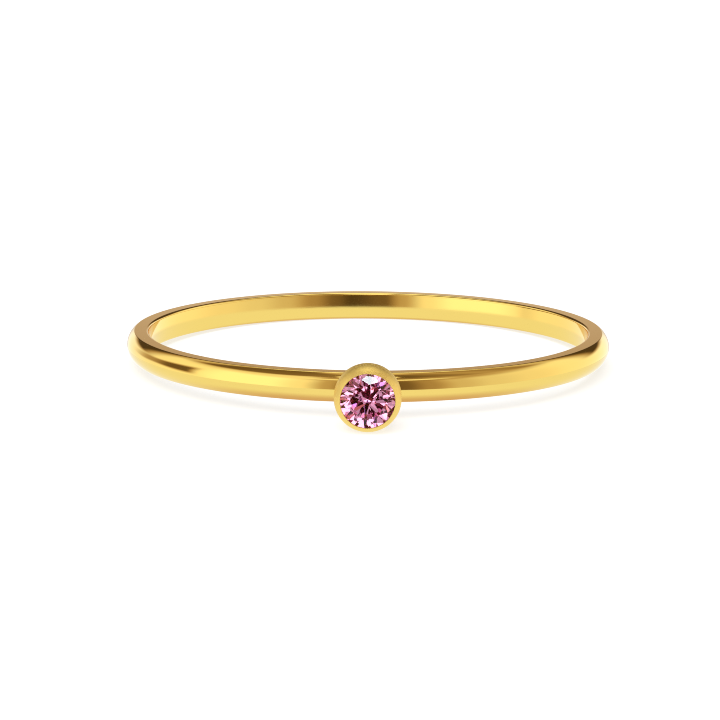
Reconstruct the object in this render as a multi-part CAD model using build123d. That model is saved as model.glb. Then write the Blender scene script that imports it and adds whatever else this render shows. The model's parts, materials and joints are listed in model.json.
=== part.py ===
from build123d import *
import math
import os

# Stackable ring: a thin D-profile band with a round bezel cup soldered on its
# outside, and a round brilliant-cut stone held in the cup.
#
# Millimetres, +Z up.  The origin is the centre of the finger hole.  The ring
# lies on its side with the bezel towards -Y.  The bezel is wider than the
# band, so the ring rests on the lowest line of the bezel and on the far lower
# edge of the band, and the whole ring is tilted by that small angle.

# ---- driving dimensions ---------------------------------------------------
# band, in section: radius from the finger-hole axis, width along that axis
HOLE_RADIUS = 8.65          # inner wall, a 17.3 mm finger hole
BAND_RADIUS = 9.50          # crest of the domed outside
BAND_WIDTH = 1.10           # from side face to side face
DOME_RISE = 0.28            # crest above the edge of the side faces
INNER_EASE = 0.10           # rounding of the inner edges
SIDE_EASE = 0.06            # rounding where the dome meets a side face

# bezel cup, turned about the radial line at the front of the ring:
# distances are from the finger-hole axis, radii from the cup's own axis
CUP_RADIUS = 1.225          # short straight wall
CUP_FOOT_RADIUS = 0.45      # where the taper enters the band
CUP_FOOT_AT = 9.20
CUP_ROOT_AT = 9.00          # hidden end, inside the metal of the band
WALL_START_AT = 10.78
WALL_END_AT = 11.22
LIP_TOP_AT = 11.76          # inner edge of the rolled lip
LIP_RADIUS = 0.985          # opening that shows the stone
LIP_EDGE_ROUND = 0.02
TAPER_ROUND = 0.10          # between taper and straight wall
CUP_FLOOR_AT = 10.50
CUP_BORE_RADIUS = 0.85
SOLDER_FILLET = 0.06        # between cup and band

# stone, a round brilliant
GIRDLE_RADIUS = 1.05
GIRDLE_AT = 11.56
GIRDLE_HALF = 0.035
TABLE_CORNER_RADIUS = 0.63
CROWN_ANGLE = 34.5
PAVILION_ANGLE = 41.0
STAR_LENGTH = 0.50          # star facets, share of the way to the girdle
LOWER_HALF_LENGTH = 0.77    # lower girdle facets, share of the way to the point
STONE_TURN = -6.0           # how far the facets are turned about the cup's axis
STONE_GAP = 0.02            # free space between stone and metal

# ---- band -----------------------------------------------------------------
half = BAND_WIDTH / 2
dome_radius = (half**2 + DOME_RISE**2) / (2 * DOME_RISE)
edge_radius = BAND_RADIUS - DOME_RISE


def band_section():
    """Closed section of the band in the XZ plane: X is the radius."""
    low_in, low_out = (HOLE_RADIUS, 0, -half), (edge_radius, 0, -half)
    top_out, top_in = (edge_radius, 0, half), (HOLE_RADIUS, 0, half)
    dome = Edge.make_three_point_arc(low_out, (BAND_RADIUS, 0, 0), top_out)
    wire = Wire(
        [
            Edge.make_line(low_in, low_out),
            dome,
            Edge.make_line(top_out, top_in),
            Edge.make_line(top_in, low_in),
        ]
    )
    return Face(wire)


band = revolve(band_section(), Axis.Z, 360)
circles = band.edges().filter_by(GeomType.CIRCLE)
inner = [e for e in circles if abs(e.radius - HOLE_RADIUS) < 1e-3]
outer = [e for e in circles if abs(e.radius - edge_radius) < 1e-3]
band = fillet(inner, INNER_EASE)
circles = band.edges().filter_by(GeomType.CIRCLE)
outer = [e for e in circles if abs(e.radius - edge_radius) < 1e-3]
band = fillet(outer, SIDE_EASE)

# ---- bezel cup ------------------------------------------------------------
# Section in the XY plane: X is the radius from the cup's axis, -Y the
# distance from the finger-hole axis.


def at(radius, distance):
    return (radius, -distance, 0)


taper = math.atan2(CUP_RADIUS - CUP_FOOT_RADIUS, WALL_START_AT - CUP_FOOT_AT)
root_radius = CUP_FOOT_RADIUS - (CUP_FOOT_AT - CUP_ROOT_AT) * math.tan(taper)
setback = TAPER_ROUND * math.tan(taper / 2)
round_in = at(
    CUP_RADIUS - setback * math.sin(taper), WALL_START_AT - setback * math.cos(taper)
)
round_mid = at(
    CUP_RADIUS - TAPER_ROUND * (1 - math.cos(taper / 2)),
    WALL_START_AT + setback - TAPER_ROUND * math.sin(taper / 2),
)
round_out = at(CUP_RADIUS, WALL_START_AT + setback)

# The lip is an arc that leaves the straight wall without a kink.
reach = CUP_RADIUS - LIP_RADIUS - LIP_EDGE_ROUND
rise = LIP_TOP_AT - WALL_END_AT
lip_arc = (reach**2 + rise**2) / (2 * reach)
lip_turn = math.asin(rise / lip_arc)
lip_mid = at(
    CUP_RADIUS - lip_arc * (1 - math.cos(lip_turn / 2)),
    WALL_END_AT + lip_arc * math.sin(lip_turn / 2),
)

seat_radius = GIRDLE_RADIUS + STONE_GAP
under_lip = GIRDLE_AT + GIRDLE_HALF + STONE_GAP
over_seat = GIRDLE_AT - GIRDLE_HALF - STONE_GAP
seat_foot = over_seat - (seat_radius - CUP_BORE_RADIUS) * math.tan(
    math.radians(PAVILION_ANGLE)
)
corners = [
    at(0, CUP_ROOT_AT),
    at(root_radius, CUP_ROOT_AT),
    round_in,
]
inside = [
    at(LIP_RADIUS, LIP_TOP_AT - LIP_EDGE_ROUND),
    at(LIP_RADIUS, under_lip + seat_radius - LIP_RADIUS),
    at(seat_radius, under_lip),
    at(seat_radius, over_seat),
    at(CUP_BORE_RADIUS, seat_foot),
    at(CUP_BORE_RADIUS, CUP_FLOOR_AT),
    at(0, CUP_FLOOR_AT),
    at(0, CUP_ROOT_AT),
]
lip_end = at(LIP_RADIUS + LIP_EDGE_ROUND, LIP_TOP_AT)
cup_edges = [Edge.make_line(a, b) for a, b in zip(corners, corners[1:])]
cup_edges += [
    Edge.make_three_point_arc(round_in, round_mid, round_out),
    Edge.make_line(round_out, at(CUP_RADIUS, WALL_END_AT)),
    Edge.make_three_point_arc(at(CUP_RADIUS, WALL_END_AT), lip_mid, lip_end),
    Edge.make_three_point_arc(
        lip_end,
        at(
            LIP_RADIUS + LIP_EDGE_ROUND * (1 - math.cos(math.radians(45))),
            LIP_TOP_AT - LIP_EDGE_ROUND * (1 - math.sin(math.radians(45))),
        ),
        inside[0],
    ),
]
cup_edges += [Edge.make_line(a, b) for a, b in zip(inside, inside[1:])]
cup = revolve(Face(Wire(cup_edges)), Axis.Y, 360)

# Cup and band are soldered into one piece, with a small fillet of solder
# along the line where the taper meets the dome.
metal = band + cup
joint = [
    e
    for e in metal.edges()
    if e.geom_type not in (GeomType.CIRCLE, GeomType.LINE)
    and e.center().Y < -8.5
    and max((e @ t).Z for t in (0, 0.25, 0.5, 0.75, 1)) < 1.0
]
metal = fillet(joint, SOLDER_FILLET)

# ---- stone ----------------------------------------------------------------
# Modelled with its axis along +Z and its girdle at Z = 0, then placed.
tan_c = math.tan(math.radians(CROWN_ANGLE))
tan_p = math.tan(math.radians(PAVILION_ANGLE))
eighth = math.radians(45)
table_at = GIRDLE_HALF + (GIRDLE_RADIUS - TABLE_CORNER_RADIUS) * tan_c
point_at = -GIRDLE_HALF - GIRDLE_RADIUS * tan_p


def polar(radius, angle, height):
    return Vector(radius * math.cos(angle), radius * math.sin(angle), height)


def crown_height(radius):
    """Height of the ridge between two crown mains."""
    return GIRDLE_HALF + (GIRDLE_RADIUS - radius * math.cos(eighth / 2)) * tan_c


def pavilion_height(radius):
    """Height of the ridge between two pavilion mains."""
    return point_at + radius * math.cos(eighth / 2) * tan_p


table_flat = TABLE_CORNER_RADIUS * math.cos(eighth / 2)
star_foot = table_flat + STAR_LENGTH * (GIRDLE_RADIUS - table_flat)
lower_foot = GIRDLE_RADIUS * (1 - LOWER_HALF_LENGTH)

facets = []
for k in range(8):
    main, ridge, after = k * eighth, (k + 0.5) * eighth, (k + 1) * eighth
    top, bottom = GIRDLE_HALF, -GIRDLE_HALF
    star = polar(star_foot, ridge, crown_height(star_foot))
    low = polar(lower_foot, ridge, pavilion_height(lower_foot))
    facets += [
        # crown main: through its girdle tip and the table corner
        (
            polar(GIRDLE_RADIUS, main, top),
            polar(TABLE_CORNER_RADIUS, main, table_at),
            polar(GIRDLE_RADIUS, main, top) + Vector(-math.sin(main), math.cos(main)),
        ),
        # star: through a table edge and the ridge between two mains
        (
            polar(TABLE_CORNER_RADIUS, main, table_at),
            polar(TABLE_CORNER_RADIUS, after, table_at),
            star,
        ),
        # upper girdle facets, left and right of the ridge
        (star, polar(GIRDLE_RADIUS, main, top), polar(GIRDLE_RADIUS, ridge, top)),
        (star, polar(GIRDLE_RADIUS, ridge, top), polar(GIRDLE_RADIUS, after, top)),
        # pavilion main
        (
            polar(GIRDLE_RADIUS, main, bottom),
            Vector(0, 0, point_at),
            polar(GIRDLE_RADIUS, main, bottom)
            + Vector(-math.sin(main), math.cos(main)),
        ),
        # lower girdle facets
        (low, polar(GIRDLE_RADIUS, main, bottom), polar(GIRDLE_RADIUS, ridge, bottom)),
        (low, polar(GIRDLE_RADIUS, ridge, bottom), polar(GIRDLE_RADIUS, after, bottom)),
    ]

stone = Pos(0, 0, (table_at + point_at) / 2) * Cylinder(
    GIRDLE_RADIUS, table_at - point_at
)
inside_point = Vector(0, 0, 0)
for a, b, c in facets:
    normal = (b - a).cross(c - a).normalized()
    if normal.dot(inside_point - a) > 0:
        normal = -normal
    stone = split(stone, bisect_by=Plane(origin=a, z_dir=normal), keep=Keep.BOTTOM)

# The stone's axis turns from +Z to -Y, with a table corner towards +Z.
stone = Rot(0, 0, 90 + STONE_TURN) * stone
stone = Pos(0, -GIRDLE_AT, 0) * Rot(90, 0, 0) * stone

# ---- the ring at rest -----------------------------------------------------
REST_TILT = math.degrees(
    math.atan2(CUP_RADIUS - half, WALL_START_AT + setback + edge_radius)
)
nodes = {
    "band_with_bezel": Rot(-REST_TILT, 0, 0) * metal,
    "stone": Rot(-REST_TILT, 0, 0) * stone,
}

os.makedirs("parts", exist_ok=True)
for name, shape in nodes.items():
    shape = shape.solids()[0] if len(shape.solids()) == 1 else shape
    box = shape.bounding_box()
    print(
        f"{name}: {len(nodes[name].solids())} solid, {shape.volume:.4f} mm3, "
        f"min {box.min.X:.4f} {box.min.Y:.4f} {box.min.Z:.4f}, "
        f"max {box.max.X:.4f} {box.max.Y:.4f} {box.max.Z:.4f}, valid {shape.is_valid}"
    )
    export_step(shape, f"parts/{name}.step")
print(f"rest tilt {REST_TILT:.4f} degrees")
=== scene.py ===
import json
import math

import bmesh
import bpy
import numpy as np
from mathutils import Matrix, Quaternion, Vector


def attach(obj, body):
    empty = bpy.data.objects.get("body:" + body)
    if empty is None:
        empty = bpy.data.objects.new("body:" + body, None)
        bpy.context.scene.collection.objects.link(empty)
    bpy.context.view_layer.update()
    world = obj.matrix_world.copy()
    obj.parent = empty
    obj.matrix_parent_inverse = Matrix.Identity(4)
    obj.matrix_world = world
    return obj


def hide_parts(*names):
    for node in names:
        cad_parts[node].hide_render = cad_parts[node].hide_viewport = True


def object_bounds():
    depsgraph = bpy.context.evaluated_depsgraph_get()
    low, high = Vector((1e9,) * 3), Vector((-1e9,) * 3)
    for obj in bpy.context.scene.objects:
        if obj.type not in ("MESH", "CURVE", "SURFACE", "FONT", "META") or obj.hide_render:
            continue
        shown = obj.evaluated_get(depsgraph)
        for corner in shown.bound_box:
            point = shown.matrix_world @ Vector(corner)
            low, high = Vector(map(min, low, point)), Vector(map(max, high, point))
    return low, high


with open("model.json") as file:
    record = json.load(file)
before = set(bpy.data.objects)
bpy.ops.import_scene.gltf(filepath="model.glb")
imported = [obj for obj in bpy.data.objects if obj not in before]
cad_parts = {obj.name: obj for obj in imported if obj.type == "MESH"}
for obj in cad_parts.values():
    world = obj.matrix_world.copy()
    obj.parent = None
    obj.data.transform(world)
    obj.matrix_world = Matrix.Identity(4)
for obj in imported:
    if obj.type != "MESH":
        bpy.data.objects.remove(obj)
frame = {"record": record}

cad_low, cad_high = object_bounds()
record = frame["record"]
scene = bpy.context.scene

# ---------------------------------------------------------------------------
# Named sizes, in millimetres, the same as the CAD part's
# ---------------------------------------------------------------------------
INSET = 0.0045            # keeps the finer round mesh inside the CAD mesh's box
HOLE_RADIUS = 8.65
BAND_RADIUS = 9.50 - INSET
BAND_WIDTH = 1.10
DOME_RISE = 0.28
INNER_EASE = 0.10
SIDE_EASE = 0.06

CUP_RADIUS = 1.225 - INSET
CUP_FOOT_RADIUS = 0.45
CUP_FOOT_AT = 9.20
CUP_ROOT_AT = 9.00
WALL_START_AT = 10.78
WALL_END_AT = 11.22
LIP_TOP_AT = 11.76
LIP_RADIUS = 0.985
LIP_EDGE_ROUND = 0.02
TAPER_ROUND = 0.10
CUP_FLOOR_AT = 10.50
CUP_BORE_RADIUS = 0.85
SOLDER_FILLET = 0.06

GIRDLE_RADIUS = 1.05
GIRDLE_AT = 11.56
GIRDLE_HALF = 0.035
TABLE_CORNER_RADIUS = 0.63
CROWN_ANGLE = 34.5
PAVILION_ANGLE = 41.0
STAR_LENGTH = 0.50
LOWER_HALF_LENGTH = 0.77
STONE_TURN = -6.0
STONE_GAP = 0.02

ROUND_BAND = 480          # steps round the finger hole
ROUND_CUP = 240           # steps round the bezel
ROUND_GIRDLE = 128        # flats that make the girdle

half = BAND_WIDTH / 2
dome = (half**2 + DOME_RISE**2) / (2 * DOME_RISE)
dome_centre = BAND_RADIUS - dome

# The ring's own axis leans by its resting tilt, which the record's mount gives.
hole = next(m for m in record["mounts"] if m["name"] == "finger_hole")
lean = math.atan2(hole["axis"][1], hole["axis"][2])
centre = np.array(hole["pos_m"])
cl, sl = math.cos(lean), math.sin(lean)


def place(p):
    """Points of the ring's own upright frame, in mm, to the row's frame, in m."""
    p = np.asarray(p, float)
    q = turn(p) / 1000
    return q + centre


def turn(v):
    v = np.asarray(v, float)
    return np.stack(
        [v[..., 0], v[..., 1] * cl + v[..., 2] * sl, -v[..., 1] * sl + v[..., 2] * cl],
        -1,
    )


def make(name, verts, faces, loop_normals, smooth=True):
    """A mesh object from points (m), faces and one normal for each face corner."""
    mesh = bpy.data.meshes.new(name)
    mesh.from_pydata([tuple(v) for v in verts], [], faces)
    mesh.validate()
    mesh.update()
    mesh.shade_smooth() if smooth else mesh.shade_flat()
    if loop_normals is not None:
        mesh.normals_split_custom_set([tuple(n) for n in loop_normals])
    obj = bpy.data.objects.new(name, mesh)
    scene.collection.objects.link(obj)
    return obj


def arc(cx, cy, radius, start, end, steps):
    """Points and outward normals of an arc, angles in radians."""
    out = []
    for a in np.linspace(start, end, steps + 1):
        out.append((cx + radius * math.cos(a), cy + radius * math.sin(a),
                    math.cos(a), math.sin(a)))
    return out


def line(x0, y0, x1, y1, steps=1):
    """Points of a line whose outward normal is on its right."""
    dx, dy = x1 - x0, y1 - y0
    n = math.hypot(dx, dy)
    return [(x0 + dx * t, y0 + dy * t, dy / n, -dx / n)
            for t in np.linspace(0, 1, steps + 1)]


# ---------------------------------------------------------------------------
# Band: the section, turned round the finger hole
# ---------------------------------------------------------------------------
ease_r = dome_centre + math.sqrt((dome - SIDE_EASE) ** 2 - (half - SIDE_EASE) ** 2)
ease_turn = math.atan2(half - SIDE_EASE, ease_r - dome_centre)
section = [
    arc(HOLE_RADIUS + INNER_EASE, -(half - INNER_EASE), INNER_EASE,
        math.pi, 1.5 * math.pi, 8),
    line(HOLE_RADIUS + INNER_EASE, -half, ease_r, -half, 3),
    arc(ease_r, -(half - SIDE_EASE), SIDE_EASE, -math.pi / 2, -ease_turn, 6),
    arc(dome_centre, 0, dome, -ease_turn, ease_turn, 48),
    arc(ease_r, half - SIDE_EASE, SIDE_EASE, ease_turn, math.pi / 2, 6),
    line(ease_r, half, HOLE_RADIUS + INNER_EASE, half, 3),
    arc(HOLE_RADIUS + INNER_EASE, half - INNER_EASE, INNER_EASE,
        0.5 * math.pi, math.pi, 8),
    line(HOLE_RADIUS, half - INNER_EASE, HOLE_RADIUS, -(half - INNER_EASE), 6),
]


def build_band():
    rows, strips = [], []          # strips: (row a, row b, normal a, normal b)
    for seg in section:
        for k, (r, z, nr, nz) in enumerate(seg[:-1]):
            rows.append((r, z))
            nxt = seg[k + 1]
            strips.append((nr, nz, nxt[2], nxt[3]))
    n = len(rows)
    ang = np.arange(ROUND_BAND) * 2 * math.pi / ROUND_BAND
    s, c = np.sin(ang), -np.cos(ang)
    pts = np.array([[(r * s[i], r * c[i], z) for i in range(ROUND_BAND)]
                    for r, z in rows])
    verts = place(pts.reshape(-1, 3))
    faces, normals = [], []
    for k in range(n):
        k2 = (k + 1) % n
        nr0, nz0, nr1, nz1 = strips[k]
        for i in range(ROUND_BAND):
            j = (i + 1) % ROUND_BAND
            faces.append((k * ROUND_BAND + i, k * ROUND_BAND + j,
                          k2 * ROUND_BAND + j, k2 * ROUND_BAND + i))
            normals += [
                (nr0 * s[i], nr0 * c[i], nz0), (nr0 * s[j], nr0 * c[j], nz0),
                (nr1 * s[j], nr1 * c[j], nz1), (nr1 * s[i], nr1 * c[i], nz1),
            ]
    return make("band", verts, faces, turn(normals))


# ---------------------------------------------------------------------------
# Bezel: the cup's section turned round the radial line at the front, with a
# fillet of solder that follows the dome of the band
# ---------------------------------------------------------------------------
taper = math.atan2(CUP_RADIUS - CUP_FOOT_RADIUS, WALL_START_AT - CUP_FOOT_AT)
setback = TAPER_ROUND * math.tan(taper / 2)
reach = CUP_RADIUS - LIP_RADIUS - LIP_EDGE_ROUND
rise = LIP_TOP_AT - WALL_END_AT
lip_arc = (reach**2 + rise**2) / (2 * reach)
lip_turn = math.asin(rise / lip_arc)
seat_radius = GIRDLE_RADIUS + STONE_GAP
under_lip = GIRDLE_AT + GIRDLE_HALF + STONE_GAP
over_seat = GIRDLE_AT - GIRDLE_HALF - STONE_GAP
seat_foot = over_seat - (seat_radius - CUP_BORE_RADIUS) * math.tan(
    math.radians(PAVILION_ANGLE))


def cup_cone(t):
    return CUP_FOOT_RADIUS + (t - CUP_FOOT_AT) * math.tan(taper)


def solder(azimuth, steps=10):
    """The fillet at one azimuth of the cup: points and normals from the cone down
    to the dome, from a ball that touches both."""
    f = SOLDER_FILLET
    sa, ca = math.sin(azimuth), math.cos(azimuth)

    def ball(t0):
        rho = cup_cone(t0) + f * math.cos(taper)
        t = t0 - f * math.sin(taper)
        return np.array([rho * sa, t, rho * ca])      # x, distance, z

    def gap(t0):
        x, t, z = ball(t0)
        return math.hypot(math.hypot(x, t) - dome_centre, z) - (dome + f)

    lo, hi = CUP_ROOT_AT, WALL_START_AT
    for _ in range(60):
        mid = (lo + hi) / 2
        lo, hi = (mid, hi) if gap(mid) < 0 else (lo, mid)
    t0 = (lo + hi) / 2
    b = ball(t0)
    on_cone = np.array([cup_cone(t0) * sa, t0, cup_cone(t0) * ca])
    r = math.hypot(b[0], b[1])
    core = np.array([b[0] / r * dome_centre, b[1] / r * dome_centre, 0])
    on_dome = core + (b - core) * dome / (dome + f)
    d0, d1 = (on_cone - b) / f, (on_dome - b) / f
    w = math.acos(max(-1, min(1, d0 @ d1)))
    pts, nrm = [], []
    for u in np.linspace(0, 1, steps + 1):
        d = (math.sin((1 - u) * w) * d0 + math.sin(u * w) * d1) / math.sin(w)
        pts.append(b + f * d)
        nrm.append(-d)
    out = (on_dome - core) / dome
    return pts, nrm, out


def build_bezel():
    # One list of (radius, distance, normal radius, normal distance) pieces from
    # the middle of the cup's floor, up the inside, over the lip, down the outside.
    ins = [
        line(0, CUP_FLOOR_AT, CUP_BORE_RADIUS, CUP_FLOOR_AT, 4),
        line(CUP_BORE_RADIUS, CUP_FLOOR_AT, CUP_BORE_RADIUS, seat_foot, 4),
        line(CUP_BORE_RADIUS, seat_foot, seat_radius, over_seat, 2),
        line(seat_radius, over_seat, seat_radius, under_lip, 1),
        line(seat_radius, under_lip, LIP_RADIUS, under_lip + seat_radius - LIP_RADIUS, 1),
        line(LIP_RADIUS, under_lip + seat_radius - LIP_RADIUS,
             LIP_RADIUS, LIP_TOP_AT - LIP_EDGE_ROUND, 1),
    ]
    inner = [[(r, t, -nr, -nt) for r, t, nr, nt in seg] for seg in ins]
    outer = [
        arc(LIP_RADIUS + LIP_EDGE_ROUND, LIP_TOP_AT - LIP_EDGE_ROUND, LIP_EDGE_ROUND,
            math.pi, math.pi / 2, 5),
        arc(CUP_RADIUS - lip_arc, WALL_END_AT, lip_arc, lip_turn, 0, 20),
        [(CUP_RADIUS, t, 1, 0) for t in np.linspace(WALL_END_AT, WALL_START_AT + setback, 4)],
        arc(CUP_RADIUS - TAPER_ROUND, WALL_START_AT + setback, TAPER_ROUND, 0, -taper, 5),
    ]
    # the first point of the lip's edge closes onto the inside face
    fixed = inner + outer
    ang = np.arange(ROUND_CUP) * 2 * math.pi / ROUND_CUP
    columns = []
    for a in ang:
        sa, ca = math.sin(a), math.cos(a)
        col = []                                   # segments of (point, normal)
        for seg in fixed:
            col.append([((r * sa, -t, r * ca), (nr * sa, -nt, nr * ca))
                        for r, t, nr, nt in seg])
        pts, nrm, out = solder(a)
        top_r = CUP_RADIUS - TAPER_ROUND * (1 - math.cos(taper))
        top_t = WALL_START_AT + setback - TAPER_ROUND * math.sin(taper)
        end_t = pts[0][1]
        cone_n = (math.cos(taper) * sa, math.sin(taper), math.cos(taper) * ca)
        cone = []
        for u in np.linspace(0, 1, 9):
            t = top_t + (end_t - top_t) * u
            r = top_r + (cup_cone(end_t) - top_r) * u
            cone.append(((r * sa, -t, r * ca), cone_n))
        col.append(cone)
        col.append([((p[0], -p[1], p[2]), (n[0], -n[1], n[2]))
                    for p, n in zip(pts, nrm)])
        # the hidden end goes on into the metal of the band
        toe = pts[-1] - 0.05 * out
        deep = np.array([toe[0] * 0.5, CUP_ROOT_AT, toe[2] * 0.5])
        o = (out[0], -out[1], out[2])
        col.append([((pts[-1][0], -pts[-1][1], pts[-1][2]), o),
                    ((toe[0], -toe[1], toe[2]), o),
                    ((deep[0], -deep[1], deep[2]), (0, 1, 0))])
        columns.append(col)
    flat, owner = [], []
    for si, seg in enumerate(columns[0]):
        for k in range(len(seg)):
            if k == 0 and si > 0:
                continue                          # shared with the segment before
            flat.append((si, k))
    rows = len(flat)
    verts = []
    for col in columns:
        for si, k in flat:
            verts.append(col[si][k][0])
    # the first row is the middle of the floor: one point
    first = [i * rows for i in range(ROUND_CUP)]
    verts.append((0, -CUP_FLOOR_AT, 0))
    verts.append((0, -CUP_ROOT_AT, 0))
    mid_floor, mid_root = len(verts) - 2, len(verts) - 1

    def nrm(i, row, seg_of_strip):
        si, k = flat[row]
        if si != seg_of_strip:                    # end of the segment before
            si, k = seg_of_strip, 0
        return columns[i][si][k][1]

    faces, normals = [], []
    for row in range(rows - 1):
        seg = flat[row + 1][0]
        for i in range(ROUND_CUP):
            j = (i + 1) % ROUND_CUP
            a, b = i * rows + row, j * rows + row
            c, d = j * rows + row + 1, i * rows + row + 1
            if row == 0:
                faces.append((mid_floor, c, d))
                n = (0, -1, 0)
                normals += [n, nrm(j, 1, seg), nrm(i, 1, seg)]
            else:
                faces.append((a, b, c, d))
                normals += [nrm(i, row, seg), nrm(j, row, seg),
                            nrm(j, row + 1, seg), nrm(i, row + 1, seg)]
    for i in range(ROUND_CUP):
        j = (i + 1) % ROUND_CUP
        faces.append((i * rows + rows - 1, j * rows + rows - 1, mid_root))
        normals += [(0, 1, 0)] * 3
    # drop the unused copies of the middle of the floor
    used = sorted({v for f in faces for v in f})
    index = {v: n for n, v in enumerate(used)}
    verts = [verts[v] for v in used]
    faces = [tuple(index[v] for v in f) for f in faces]
    return make("bezel", place(verts), faces, turn(normals))


# ---------------------------------------------------------------------------
# Stone: a round brilliant, cut plane by plane out of a girdle-sized drum
# ---------------------------------------------------------------------------
tan_c = math.tan(math.radians(CROWN_ANGLE))
tan_p = math.tan(math.radians(PAVILION_ANGLE))
eighth = math.radians(45)
table_at = GIRDLE_HALF + (GIRDLE_RADIUS - TABLE_CORNER_RADIUS) * tan_c
point_at = -GIRDLE_HALF - GIRDLE_RADIUS * tan_p


def polar(radius, angle, height):
    return Vector((radius * math.cos(angle), radius * math.sin(angle), height))


def crown_height(radius):
    return GIRDLE_HALF + (GIRDLE_RADIUS - radius * math.cos(eighth / 2)) * tan_c


def pavilion_height(radius):
    return point_at + radius * math.cos(eighth / 2) * tan_p


def facet_planes():
    table_flat = TABLE_CORNER_RADIUS * math.cos(eighth / 2)
    star_foot = table_flat + STAR_LENGTH * (GIRDLE_RADIUS - table_flat)
    lower_foot = GIRDLE_RADIUS * (1 - LOWER_HALF_LENGTH)
    g, up, dn = GIRDLE_RADIUS, GIRDLE_HALF, -GIRDLE_HALF
    out = []
    for k in range(8):
        main, ridge, after = k * eighth, (k + 0.5) * eighth, (k + 1) * eighth
        side = Vector((-math.sin(main), math.cos(main), 0))
        star = polar(star_foot, ridge, crown_height(star_foot))
        low = polar(lower_foot, ridge, pavilion_height(lower_foot))
        out += [
            (polar(g, main, up), polar(TABLE_CORNER_RADIUS, main, table_at),
             polar(g, main, up) + side),
            (polar(TABLE_CORNER_RADIUS, main, table_at),
             polar(TABLE_CORNER_RADIUS, after, table_at), star),
            (star, polar(g, main, up), polar(g, ridge, up)),
            (star, polar(g, ridge, up), polar(g, after, up)),
            (polar(g, main, dn), Vector((0, 0, point_at)), polar(g, main, dn) + side),
            (low, polar(g, main, dn), polar(g, ridge, dn)),
            (low, polar(g, ridge, dn), polar(g, after, dn)),
        ]
    return out


def build_stone():
    bm = bmesh.new()
    ring = [polar(GIRDLE_RADIUS, i * 2 * math.pi / ROUND_GIRDLE, 0)
            for i in range(ROUND_GIRDLE)]
    low = [bm.verts.new((p.x, p.y, point_at)) for p in ring]
    top = [bm.verts.new((p.x, p.y, table_at)) for p in ring]
    for i in range(ROUND_GIRDLE):
        j = (i + 1) % ROUND_GIRDLE
        bm.faces.new((low[i], low[j], top[j], top[i]))
    bm.faces.new(top)
    bm.faces.new(low[::-1])
    for a, b, c in facet_planes():
        n = (b - a).cross(c - a).normalized()
        if n.dot(a) < 0:
            n = -n
        cut = bmesh.ops.bisect_plane(
            bm, geom=bm.verts[:] + bm.edges[:] + bm.faces[:], dist=1e-6,
            plane_co=a, plane_no=n, clear_outer=True)
        edges = [e for e in bm.edges if len(e.link_faces) == 1]
        if edges:
            bmesh.ops.contextual_create(bm, geom=edges)
    bmesh.ops.remove_doubles(bm, verts=bm.verts[:], dist=1e-5)
    bmesh.ops.dissolve_degenerate(bm, edges=bm.edges[:], dist=1e-5)
    bmesh.ops.recalc_face_normals(bm, faces=bm.faces[:])
    # facets up: the stone's axis turns from +Z to -Y, a table corner to +Z
    spin = Matrix.Rotation(math.radians(90 + STONE_TURN), 3, "Z")
    tip = Matrix.Rotation(math.radians(90), 3, "X")
    verts = [tip @ (spin @ v.co) + Vector((0, -GIRDLE_AT, 0)) for v in bm.verts]
    bm.verts.index_update()
    faces = [tuple(v.index for v in f.verts) for f in bm.faces]
    bm.free()
    return make("stone_cut", place([tuple(v) for v in verts]), faces, None, smooth=False)


band = build_band()
bezel = build_bezel()
gem = build_stone()

# ---------------------------------------------------------------------------
# Materials
# ---------------------------------------------------------------------------


def material(name):
    m = bpy.data.materials.new(name)
    m.use_nodes = True
    nt = m.node_tree
    return m, nt, nt.nodes["Principled BSDF"]


def node(nt, kind, **values):
    n = nt.nodes.new(kind)
    for k, v in values.items():
        if k in n.inputs:
            n.inputs[k].default_value = v
        else:
            setattr(n, k, v)
    return n


def colour_drift(nt, co, scale, a, b):
    """The small changes of colour that a plated surface has from place to place."""
    slow = node(nt, "ShaderNodeTexNoise", Scale=scale, Detail=2.0, Roughness=0.5)
    nt.links.new(co.outputs["Object"], slow.inputs["Vector"])
    mix = node(nt, "ShaderNodeMix", data_type="RGBA")
    nt.links.new(slow.outputs["Fac"], mix.inputs[0])
    mix.inputs[6].default_value = (*a, 1)
    mix.inputs[7].default_value = (*b, 1)
    nt.links.new(mix.outputs[2], nt.nodes["Principled BSDF"].inputs["Base Color"])


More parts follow.
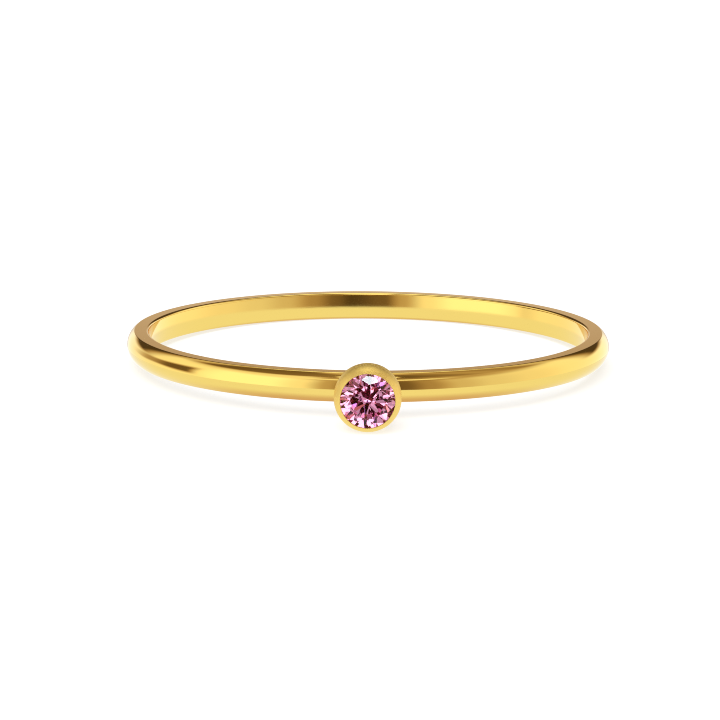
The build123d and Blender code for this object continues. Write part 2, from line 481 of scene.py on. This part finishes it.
def polished_gold():
    """Mirror-polished yellow gold: a very fine polishing grain that runs round the
    band, and slow changes in how clean the polish is."""
    m, nt, p = material("polished_gold")
    p.inputs["Metallic"].default_value = 1.0
    p.inputs["Specular Tint"].default_value = (1.0, 0.97, 0.90, 1)
    co = node(nt, "ShaderNodeTexCoord")
    colour_drift(nt, co, 260.0, (0.885, 0.612, 0.156), (0.855, 0.588, 0.144))
    sep = node(nt, "ShaderNodeSeparateXYZ")
    nt.links.new(co.outputs["Object"], sep.inputs[0])
    ang = node(nt, "ShaderNodeMath", operation="ARCTAN2")
    nt.links.new(sep.outputs["X"], ang.inputs[0])
    nt.links.new(sep.outputs["Y"], ang.inputs[1])
    along = node(nt, "ShaderNodeMath", operation="MULTIPLY")
    along.inputs[1].default_value = 9.0            # mm per radian
    nt.links.new(ang.outputs[0], along.inputs[0])
    across = node(nt, "ShaderNodeMath", operation="MULTIPLY")
    across.inputs[1].default_value = 30000.0       # fine across the band
    nt.links.new(sep.outputs["Z"], across.inputs[0])
    comb = node(nt, "ShaderNodeCombineXYZ")
    nt.links.new(along.outputs[0], comb.inputs[0])
    nt.links.new(across.outputs[0], comb.inputs[1])
    grain = node(nt, "ShaderNodeTexNoise", Scale=1.0, Detail=3.0, Roughness=0.55)
    nt.links.new(comb.outputs[0], grain.inputs["Vector"])
    haze = node(nt, "ShaderNodeTexNoise", Scale=420.0, Detail=2.0)
    nt.links.new(co.outputs["Object"], haze.inputs["Vector"])
    rough = node(nt, "ShaderNodeMapRange")
    rough.inputs["To Min"].default_value = 0.035
    rough.inputs["To Max"].default_value = 0.075
    nt.links.new(haze.outputs["Fac"], rough.inputs["Value"])
    nt.links.new(rough.outputs[0], p.inputs["Roughness"])
    bump = node(nt, "ShaderNodeBump", Strength=0.02, Distance=0.00001)
    nt.links.new(grain.outputs["Fac"], bump.inputs["Height"])
    nt.links.new(bump.outputs[0], p.inputs["Normal"])
    return m


def satin_gold():
    """Satin yellow gold of the bezel: fine even grain from a soft finishing wheel."""
    m, nt, p = material("satin_gold")
    p.inputs["Metallic"].default_value = 1.0
    p.inputs["Specular Tint"].default_value = (1.0, 0.97, 0.90, 1)
    co = node(nt, "ShaderNodeTexCoord")
    colour_drift(nt, co, 900.0, (0.925, 0.660, 0.190), (0.895, 0.635, 0.178))
    fine = node(nt, "ShaderNodeTexNoise", Scale=22000.0, Detail=3.0, Roughness=0.6)
    nt.links.new(co.outputs["Object"], fine.inputs["Vector"])
    slow = node(nt, "ShaderNodeTexNoise", Scale=1500.0, Detail=2.0)
    nt.links.new(co.outputs["Object"], slow.inputs["Vector"])
    rough = node(nt, "ShaderNodeMapRange")
    rough.inputs["To Min"].default_value = 0.50
    rough.inputs["To Max"].default_value = 0.60
    nt.links.new(slow.outputs["Fac"], rough.inputs["Value"])
    nt.links.new(rough.outputs[0], p.inputs["Roughness"])
    bump = node(nt, "ShaderNodeBump", Strength=0.12, Distance=0.00001)
    nt.links.new(fine.outputs["Fac"], bump.inputs["Height"])
    nt.links.new(bump.outputs[0], p.inputs["Normal"])
    return m


STONE_IOR = 2.3
STONE_COLOUR = (0.885, 0.255, 0.575)
STONE_DENSITY = 430.0


def pink_stone():
    """Clear pink stone with a high index of refraction; the colour builds up with
    the length of the light's way through it."""
    m, nt, p = material("pink_stone")
    p.inputs["Base Color"].default_value = (1.0, 0.93, 0.97, 1)
    p.inputs["Roughness"].default_value = 0.0
    p.inputs["IOR"].default_value = STONE_IOR
    p.inputs["Transmission Weight"].default_value = 1.0
    ab = node(nt, "ShaderNodeVolumeAbsorption")
    ab.inputs["Color"].default_value = (*STONE_COLOUR, 1)
    ab.inputs["Density"].default_value = STONE_DENSITY
    nt.links.new(ab.outputs[0], nt.nodes["Material Output"].inputs["Volume"])
    return m


band.data.materials.append(polished_gold())
bezel.data.materials.append(satin_gold())
gem.data.materials.append(pink_stone())
for piece, nodes, slot in (
    (band, ("band_with_bezel",), "gold"),
    (bezel, ("band_with_bezel",), "gold"),
    (gem, ("stone",), "gemstone"),
):
    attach(piece, "root")
    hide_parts(*nodes)

# ---------------------------------------------------------------------------
# Stage: a plain pale floor, and soft studio light
# ---------------------------------------------------------------------------
floor_z = cad_low.z

FLOOR_PALE = 0.93
FLOOR_REACH = (0.0036, 0.0044)     # how far off polished metal still mirrors the floor
MIRRORED_CLEAR = (1.04, 1.13, 1.20)    # the sheet as it shows in the metal
# Painted shade: the sheet as the metal mirrors it is dimmer and warmer right under the band, a
# painted contact shadow with painted warm bounce light from the gold.
MIRRORED_PAINTED_SHADE = (0.76, 0.61, 0.67)    # and its part right under the band
PAINTED_SHADE_BAND = (0.00915, 0.0, 0.0012)    # where that is, and how far out it fades
PAINTED_SHADE_ENDS = (0.0085, 0.0030)          # it fades towards the ring's two ends too
FILL = 0.60                        # soft light from all round, on matt surfaces
BACKLIT = 0.60                     # share of the sheet's look that is its own light
BACKLIGHT = 1.12                   # and how bright that is
FACETS_SEE = 0.20                  # brightness of the studio as the stone mirrors it
SHEET_FADES = (0.03, 0.20)


def math_node(nt, op, a, b=None, c=None):
    n = node(nt, "ShaderNodeMath", operation=op)
    for slot, v in enumerate((a, b, c)):
        if v is None:
            continue
        if isinstance(v, (int, float)):
            n.inputs[slot].default_value = v
        else:
            nt.links.new(v, n.inputs[slot])
    return n.outputs[0]


def step_up(nt, x, a, b):
    """0 below a, 1 above b, smooth between; a above b turns it round."""
    n = node(nt, "ShaderNodeMapRange", interpolation_type="SMOOTHSTEP")
    flip = a > b
    n.inputs["From Min"].default_value = b if flip else a
    n.inputs["From Max"].default_value = a if flip else b
    n.inputs["To Min"].default_value = 1.0 if flip else 0.0
    n.inputs["To Max"].default_value = 0.0 if flip else 1.0
    nt.links.new(x, n.inputs["Value"])
    return n.outputs[0]


def table(nt, x, stops):
    """A number read off a short table of (x, value), smooth between its rows."""
    lo, hi = stops[0][0], stops[-1][0]
    top = max(v for _, v in stops)
    fac = node(nt, "ShaderNodeMapRange")
    fac.inputs["From Min"].default_value = lo
    fac.inputs["From Max"].default_value = hi
    nt.links.new(x, fac.inputs["Value"])
    r = node(nt, "ShaderNodeValToRGB")
    r.color_ramp.interpolation = "EASE"
    nt.links.new(fac.outputs[0], r.inputs[0])
    el = r.color_ramp.elements
    el[0].position, el[1].position = 0.0, 1.0
    for at, v in stops[1:-1]:
        el.new((at - lo) / (hi - lo))
    for e, (at, v) in zip(el, stops):
        e.color = (v / top,) * 3 + (1,)
    return math_node(nt, "MULTIPLY", r.outputs["Color"], top)


def blend(nt, mask, a, b):
    """a where the mask is 0, b where it is 1."""
    n = node(nt, "ShaderNodeMix", data_type="FLOAT")
    for slot, v in ((0, mask), (2, a), (3, b)):
        if isinstance(v, (int, float)):
            n.inputs[slot].default_value = v
        else:
            nt.links.new(v, n.inputs[slot])
    return n.outputs[0]


def build_floor():
    bm = bmesh.new()
    bmesh.ops.create_circle(bm, cap_ends=True, segments=96, radius=1.2)
    mesh = bpy.data.meshes.new("floor")
    bm.to_mesh(mesh)
    bm.free()
    obj = bpy.data.objects.new("floor", mesh)
    obj.location = (0, 0, floor_z)
    scene.collection.objects.link(obj)
    m, nt, p = material("floor_paper")
    p.inputs["Roughness"].default_value = 0.9
    p.inputs["Specular IOR Level"].default_value = 0.0
    p.inputs["Base Color"].default_value = (FLOOR_PALE, FLOOR_PALE, FLOOR_PALE, 1)
    # Polished metal mirrors the sheet close by; further off it sees the studio.
    path = node(nt, "ShaderNodeLightPath")
    far = step_up(nt, path.outputs["Ray Length"], *FLOOR_REACH)
    gone = math_node(nt, "MULTIPLY", far, path.outputs["Is Glossy Ray"])
    gone = math_node(nt, "MAXIMUM", gone, path.outputs["Is Transmission Ray"])
    # Painted shadow: in the metal the sheet is dimmer and warmer right under the band, a
    # painted stand-in for the ring's contact shadow and the warm light the gold throws there.
    co = node(nt, "ShaderNodeTexCoord")
    r = node(nt, "ShaderNodeVectorMath", operation="LENGTH")
    nt.links.new(co.outputs["Object"], r.inputs[0])
    off = math_node(nt, "ABSOLUTE", math_node(nt, "SUBTRACT", r.outputs["Value"],
                                              PAINTED_SHADE_BAND[0]))
    shade = node(nt, "ShaderNodeMix", data_type="RGBA")
    sep = node(nt, "ShaderNodeSeparateXYZ")
    nt.links.new(co.outputs["Object"], sep.inputs[0])
    # painted shadow mask: strongest right under the band's middle, fading out sideways and
    # towards the ring's two ends
    ends = step_up(nt, math_node(nt, "ABSOLUTE", sep.outputs["X"]), *PAINTED_SHADE_ENDS)
    under = math_node(nt, "MULTIPLY", step_up(nt, off, PAINTED_SHADE_BAND[2], PAINTED_SHADE_BAND[1]), ends)
    nt.links.new(math_node(nt, "SUBTRACT", 1.0, under), shade.inputs[0])
    shade.inputs[6].default_value = (*MIRRORED_PAINTED_SHADE, 1)
    shade.inputs[7].default_value = (*MIRRORED_CLEAR, 1)
    glow = node(nt, "ShaderNodeEmission")
    nt.links.new(shade.outputs[2], glow.inputs["Color"])
    nt.links.new(blend(nt, path.outputs["Is Singular Ray"], 1.0, FACETS_SEE),
                 glow.inputs["Strength"])
    # The sheet is pale and lit from behind as well, so shadows on it are faint;
    # far out only its own light is left.
    lit = node(nt, "ShaderNodeEmission", Color=(1.0, 1.0, 1.0, 1), Strength=BACKLIGHT)
    own = node(nt, "ShaderNodeMixShader")
    nt.links.new(blend(nt, step_up(nt, r.outputs["Value"], *SHEET_FADES), BACKLIT, 1.0),
                 own.inputs[0])
    nt.links.new(p.outputs[0], own.inputs[1])
    nt.links.new(lit.outputs[0], own.inputs[2])
    seen = node(nt, "ShaderNodeMixShader")
    nt.links.new(path.outputs["Is Glossy Ray"], seen.inputs[0])
    nt.links.new(own.outputs[0], seen.inputs[1])
    nt.links.new(glow.outputs[0], seen.inputs[2])
    clear = node(nt, "ShaderNodeBsdfTransparent")
    mix = node(nt, "ShaderNodeMixShader")
    nt.links.new(gone, mix.inputs[0])
    nt.links.new(seen.outputs[0], mix.inputs[1])
    nt.links.new(clear.outputs[0], mix.inputs[2])
    nt.links.new(mix.outputs[0], nt.nodes["Material Output"].inputs["Surface"])
    mesh.materials.append(m)
    return obj


build_floor()

# The studio, by direction from the ring, in degrees: azimuth 0 is towards the
# camera and + is to its right; elevation 0 is level. Values are brightness.
SHEET = [(-90, 1.04), (-17, 1.04)]
SHEET_TINT = (1.0, 1.087, 1.154)
SHEET_END = -17.5
WALLS = [
    (-180, 0.72), (-172, 0.60), (-162, 1.25), (-125, 1.20), (-92, 1.25), (-72, 1.55),
    (-48, 1.55), (-32, 1.20), (-19, 0.50), (-9, 0.14), (9, 0.07), (18, 0.15), (30, 0.36),
    (45, 0.72), (62, 0.95), (85, 1.08), (112, 1.25), (150, 1.35), (162, 1.25), (172, 0.60),
    (180, 0.72),
]
UPPER = [
    (-180, 1.30), (-130, 1.20), (-105, 0.80), (-75, 1.05), (-40, 1.10), (-22, 0.45),
    (0, 0.30), (25, 0.26), (60, 0.45), (95, 0.62), (130, 1.10), (180, 1.30),
]
CEILING = 0.60
BACK_BAR = 0.06
ARCH = [
    (-180, 2.20), (-160, 2.50), (-135, 1.10), (-110, 0.12), (-70, 0.16), (-30, 0.22),
    (0, 0.18), (30, 0.12), (60, 0.22), (85, 0.42), (110, 0.28), (135, 1.10),
    (160, 2.50), (180, 2.20),
]

# A soft light high up in front, for the metal, and a small bright one that only
# the stone's facets mirror: azimuth and elevation, radius, brightness.
SOFT_AT = (0.0, 64.0)
SOFT_SIZE = 9.0
SOFT_BRIGHT = 3.4
KEY_AT = (12.4, 59.7)
KEY_SIZE = 4.0
KEY_BRIGHT = 5.4

# What shows through the stone: a random pattern of patches of light. GLITTER turns
# a patch's number from 0 to 1 into its brightness, GLITTER_TINT into its colour.
GLITTER_FINE = 8.5
GLITTER_SHIFT = (14.48, 15.01, 11.41)
GLITTER = [(0.0, 0.03), (0.323, 0.08), (0.372, 1.01), (0.586, 0.80), (0.616, 2.84), (1.0, 3.20)]
GLITTER_TINT = [(0.0, (1.0, 0.94, 0.97)), (0.764, (1.0, 0.50, 0.36)),
                (0.828, (1.0, 1.0, 1.0)), (0.95, (0.62, 0.48, 1.0))]
GLITTER_RUDDY = 0.6                # patches dimmer than this turn red
GLITTER_LEAST = 0.2                # off to the sides no patch is dimmer than this
# a dark gap towards the viewer's side: elevation, outer and inner radius
GLITTER_GAP = (math.radians(18.8), math.radians(25.5), math.radians(21.5))
GLITTER_GAP_BRIGHT = 0.27


def ramp_slots(ramp, n):
    el = ramp.color_ramp.elements
    while len(el) < n:
        el.new(0.5)
    return list(el)


def build_world():
    """What polished metal and the stone see: a studio of soft panels and dark gaps
    between them, by direction. The camera itself sees a plain pale ground."""
    world = bpy.data.worlds.new("studio")
    scene.world = world
    world.use_nodes = True
    world.cycles.sampling_method = "NONE"
    nt = world.node_tree
    nt.nodes.clear()
    out = node(nt, "ShaderNodeOutputWorld")
    co = node(nt, "ShaderNodeTexCoord")
    sep = node(nt, "ShaderNodeSeparateXYZ")
    nt.links.new(co.outputs["Generated"], sep.inputs[0])
    el = math_node(nt, "MULTIPLY", math_node(nt, "ARCSINE", sep.outputs["Z"]),
                   180 / math.pi)
    back = math_node(nt, "MULTIPLY", sep.outputs["Y"], -1.0)
    az = math_node(nt, "MULTIPLY", math_node(nt, "ARCTAN2", sep.outputs["X"], back),
                   180 / math.pi)

    v = blend(nt, step_up(nt, el, SHEET_END - 1.5, SHEET_END + 1.5),
              table(nt, el, SHEET), table(nt, az, WALLS))

    sheet = step_up(nt, el, SHEET_END + 1.5, SHEET_END - 1.5)

    # a dark flag on the left, tall at its near edge and running out to the left
    tall = table(nt, az, [(-150, 4.0), (-125, 8.0), (-90, 16.0), (-80, 16.0)])
    mid = math_node(nt, "MULTIPLY_ADD", math_node(nt, "ADD", az, 94.0), 0.12, 6.5)
    off = math_node(nt, "ABSOLUTE", math_node(nt, "SUBTRACT", el, mid))
    inside = step_up(nt, math_node(nt, "DIVIDE", off, tall), 1.25, 0.45)
    reach = table(nt, az, [(-180, 0.0), (-150, 0.0), (-124, 0.75), (-106, 1.0),
                           (-94, 1.0), (-85, 0.0), (180, 0.0)])
    v = blend(nt, math_node(nt, "MULTIPLY", inside, reach), v, 0.12)

    v = blend(nt, step_up(nt, el, 30.0, 44.0), v, table(nt, az, UPPER))
    # a thin lit strip above the dark gap at the front
    strip = math_node(nt, "MULTIPLY", step_up(nt, el, 40.0, 42.5),
                      step_up(nt, el, 49.0, 46.5))
    strip = math_node(nt, "MULTIPLY", strip, table(
        nt, az, [(-180, 0.0), (-60, 0.0), (-30, 1.0), (30, 1.0), (60, 0.0), (180, 0.0)]))
    v = blend(nt, strip, v, 1.15)
    # the dark arch overhead, lower at its sides, and the pale ceiling behind it
    side = math_node(nt, "SUBTRACT", math_node(nt, "ABSOLUTE", az), 40.0)
    drop = math_node(nt, "MULTIPLY", math_node(nt, "MAXIMUM", side, 0.0), 0.22)
    v = blend(nt, step_up(nt, math_node(nt, "ADD", el, drop), 52.0, 61.0), v,
              table(nt, az, ARCH))
    v = blend(nt, step_up(nt, el, 75.0, 83.0), v, CEILING)
    # a dark bar at the back, below the pale ceiling, for the bezel's upper rim
    bar = math_node(nt, "MULTIPLY", step_up(nt, el, 5.0, 13.0), step_up(nt, el, 56.0, 48.0))
    bar = math_node(nt, "MULTIPLY", bar, table(
        nt, az, [(-180, 1.0), (-142, 1.0), (-120, 0.0), (120, 0.0), (142, 1.0), (180, 1.0)]))
    v = blend(nt, bar, v, BACK_BAR)

    def box(at, size, edge):
        """1 inside a round light at an azimuth and elevation, 0 outside it."""
        a, e = (math.radians(d) for d in at)
        d = node(nt, "ShaderNodeVectorMath", operation="DOT_PRODUCT")
        d.inputs[1].default_value = (math.sin(a) * math.cos(e),
                                     -math.cos(a) * math.cos(e), math.sin(e))
        nt.links.new(co.outputs["Generated"], d.inputs[0])
        off = math_node(nt, "MULTIPLY", math_node(nt, "ARCCOSINE", d.outputs["Value"]),
                        180 / math.pi)
        return step_up(nt, off, size + edge, size - edge)

    # A soft light high up in front, for the metal. The stone's facets mirror a
    # dimmer studio, and one small bright light in it that one facet catches.
    path = node(nt, "ShaderNodeLightPath")
    metal = blend(nt, box(SOFT_AT, SOFT_SIZE, 3.0), v, SOFT_BRIGHT)
    facets = blend(nt, box(KEY_AT, KEY_SIZE, 0.7), math_node(nt, "MULTIPLY", v, FACETS_SEE),
                   KEY_BRIGHT)
    v = blend(nt, path.outputs["Is Singular Ray"], metal, facets)

    # dark parts of the room are warm, and its brightest panels a little cool
    dim = node(nt, "ShaderNodeMix", data_type="RGBA")
    nt.links.new(step_up(nt, v, 0.0, 1.0), dim.inputs[0])
    dim.inputs[6].default_value = (1.45, 1.0, 0.60, 1)
    dim.inputs[7].default_value = (1.0, 1.0, 1.0, 1)
    warm = node(nt, "ShaderNodeMix", data_type="RGBA")
    nt.links.new(step_up(nt, v, 1.1, 1.5), warm.inputs[0])
    nt.links.new(dim.outputs[2], warm.inputs[6])
    warm.inputs[7].default_value = (0.90, 1.0, 1.05, 1)

    whole = node(nt, "ShaderNodeMix", data_type="RGBA")
    nt.links.new(sheet, whole.inputs[0])
    nt.links.new(warm.outputs[2], whole.inputs[6])
    whole.inputs[7].default_value = (*SHEET_TINT, 1)

    mirror = node(nt, "ShaderNodeBackground")
    nt.links.new(whole.outputs[2], mirror.inputs["Color"])
    nt.links.new(v, mirror.inputs["Strength"])
    plain = node(nt, "ShaderNodeBackground", Color=(1.0, 1.0, 1.0, 1), Strength=BACKLIGHT)
    fill = node(nt, "ShaderNodeBackground", Color=(1.0, 1.0, 1.0, 1), Strength=FILL)
    a = node(nt, "ShaderNodeMixShader")
    nt.links.new(path.outputs["Is Diffuse Ray"], a.inputs[0])
    nt.links.new(mirror.outputs[0], a.inputs[1])
    nt.links.new(fill.outputs[0], a.inputs[2])
    b = node(nt, "ShaderNodeMixShader")
    nt.links.new(path.outputs["Is Camera Ray"], b.inputs[0])
    nt.links.new(a.outputs[0], b.inputs[1])
    nt.links.new(plain.outputs[0], b.inputs[2])

    # What the stone breaks up: many small lights and dark gaps, patch by patch.
    spot = node(nt, "ShaderNodeVectorMath", operation="MULTIPLY_ADD")
    spot.inputs[1].default_value = (GLITTER_FINE,) * 3
    spot.inputs[2].default_value = GLITTER_SHIFT
    nt.links.new(co.outputs["Generated"], spot.inputs[0])
    cell = node(nt, "ShaderNodeVectorMath", operation="FLOOR")
    nt.links.new(spot.outputs[0], cell.inputs[0])

    def chance(along, spread):
        """A number from 0 to 1, the same all over a patch and a new one in the next."""
        d = node(nt, "ShaderNodeVectorMath", operation="DOT_PRODUCT")
        d.inputs[1].default_value = along
        nt.links.new(cell.outputs[0], d.inputs[0])
        wave = math_node(nt, "MULTIPLY", math_node(nt, "SINE", d.outputs["Value"]), spread)
        return math_node(nt, "FRACT", wave)

    bright = table(nt, chance((1.731, 2.917, 4.273), 91.7), GLITTER)
    facing = node(nt, "ShaderNodeVectorMath", operation="DOT_PRODUCT")
    facing.inputs[1].default_value = (0.0, -math.cos(GLITTER_GAP[0]),
                                      math.sin(GLITTER_GAP[0]))
    nt.links.new(co.outputs["Generated"], facing.inputs[0])
    gap = step_up(nt, facing.outputs["Value"], math.cos(GLITTER_GAP[1]),
                  math.cos(GLITTER_GAP[2]))
    bright = math_node(nt, "MULTIPLY", bright, blend(nt, gap, 1.0, GLITTER_GAP_BRIGHT))
    wide = step_up(nt, facing.outputs["Value"], math.cos(math.radians(35)),
                   math.cos(math.radians(65)))
    bright = math_node(nt, "MAXIMUM", bright, math_node(nt, "MULTIPLY", wide, GLITTER_LEAST))
    tint = node(nt, "ShaderNodeValToRGB")
    tint.color_ramp.interpolation = "CONSTANT"
    nt.links.new(chance((3.119, 1.237, 2.411), 83.3), tint.inputs[0])
    for e, (at, rgb) in zip(ramp_slots(tint, len(GLITTER_TINT)), GLITTER_TINT):
        e.position, e.color = at, (*rgb, 1)
    ruddy = node(nt, "ShaderNodeMix", data_type="RGBA")
    nt.links.new(step_up(nt, bright, 0.0, GLITTER_RUDDY), ruddy.inputs[0])
    ruddy.inputs[6].default_value = (1.0, 0.08, 0.18, 1)
    nt.links.new(tint.outputs["Color"], ruddy.inputs[7])
    glitter = node(nt, "ShaderNodeBackground")
    nt.links.new(ruddy.outputs[2], glitter.inputs["Color"])
    nt.links.new(bright, glitter.inputs["Strength"])
    c = node(nt, "ShaderNodeMixShader")
    nt.links.new(path.outputs["Is Transmission Ray"], c.inputs[0])
    nt.links.new(b.outputs[0], c.inputs[1])
    nt.links.new(glitter.outputs[0], c.inputs[2])
    nt.links.new(c.outputs[0], out.inputs[0])


build_world()

key = bpy.data.lights.new("top_softbox", "AREA")
key.shape, key.size = "SQUARE", 1.6
key.energy = 30.0
lamp = bpy.data.objects.new("top_softbox", key)
lamp.location = (-0.25, -0.90, 1.30)
lamp.rotation_euler = (Vector(lamp.location).to_track_quat("Z", "Y")).to_euler()
lamp.visible_glossy = False
lamp.visible_transmission = False
lamp.visible_camera = False
scene.collection.objects.link(lamp)

# ---------------------------------------------------------------------------
# Camera: the photograph's height over the ring's own plane, plus its lean
# ---------------------------------------------------------------------------
DISTANCE = 0.120
ABOVE_RING = math.radians(10.3)
PIXELS_PER_MM = 25.29
ROLL = math.radians(0.38)
LOOK_AT = (-0.000316, 0.0, -0.000708)
cam_data = bpy.data.cameras.new("camera")
cam_data.sensor_width = 36.0
cam_data.lens = 36.0 * PIXELS_PER_MM * DISTANCE * 1000 / 720
cam_data.clip_start, cam_data.clip_end = 0.01, 10.0
camera = bpy.data.objects.new("camera", cam_data)
up = ABOVE_RING + lean
camera.location = (0, -DISTANCE * math.cos(up), DISTANCE * math.sin(up))
aim = Vector(LOOK_AT) - Vector(camera.location)
camera.rotation_euler = (
    aim.to_track_quat("-Z", "Y") @ Quaternion((0, 0, 1), ROLL)).to_euler()
scene.collection.objects.link(camera)
scene.camera = camera

scene.view_settings.view_transform = "Standard"
scene.view_settings.look = "None"
scene.cycles.filter_width = 1.1
scene.cycles.max_bounces = 32
scene.cycles.transmission_bounces = 32
scene.cycles.glossy_bounces = 16
scene.cycles.diffuse_bounces = 4
scene.cycles.caustics_reflective = True
scene.cycles.caustics_refractive = False
scene.cycles.sample_clamp_indirect = 8.0
scene.cycles.use_denoising = True
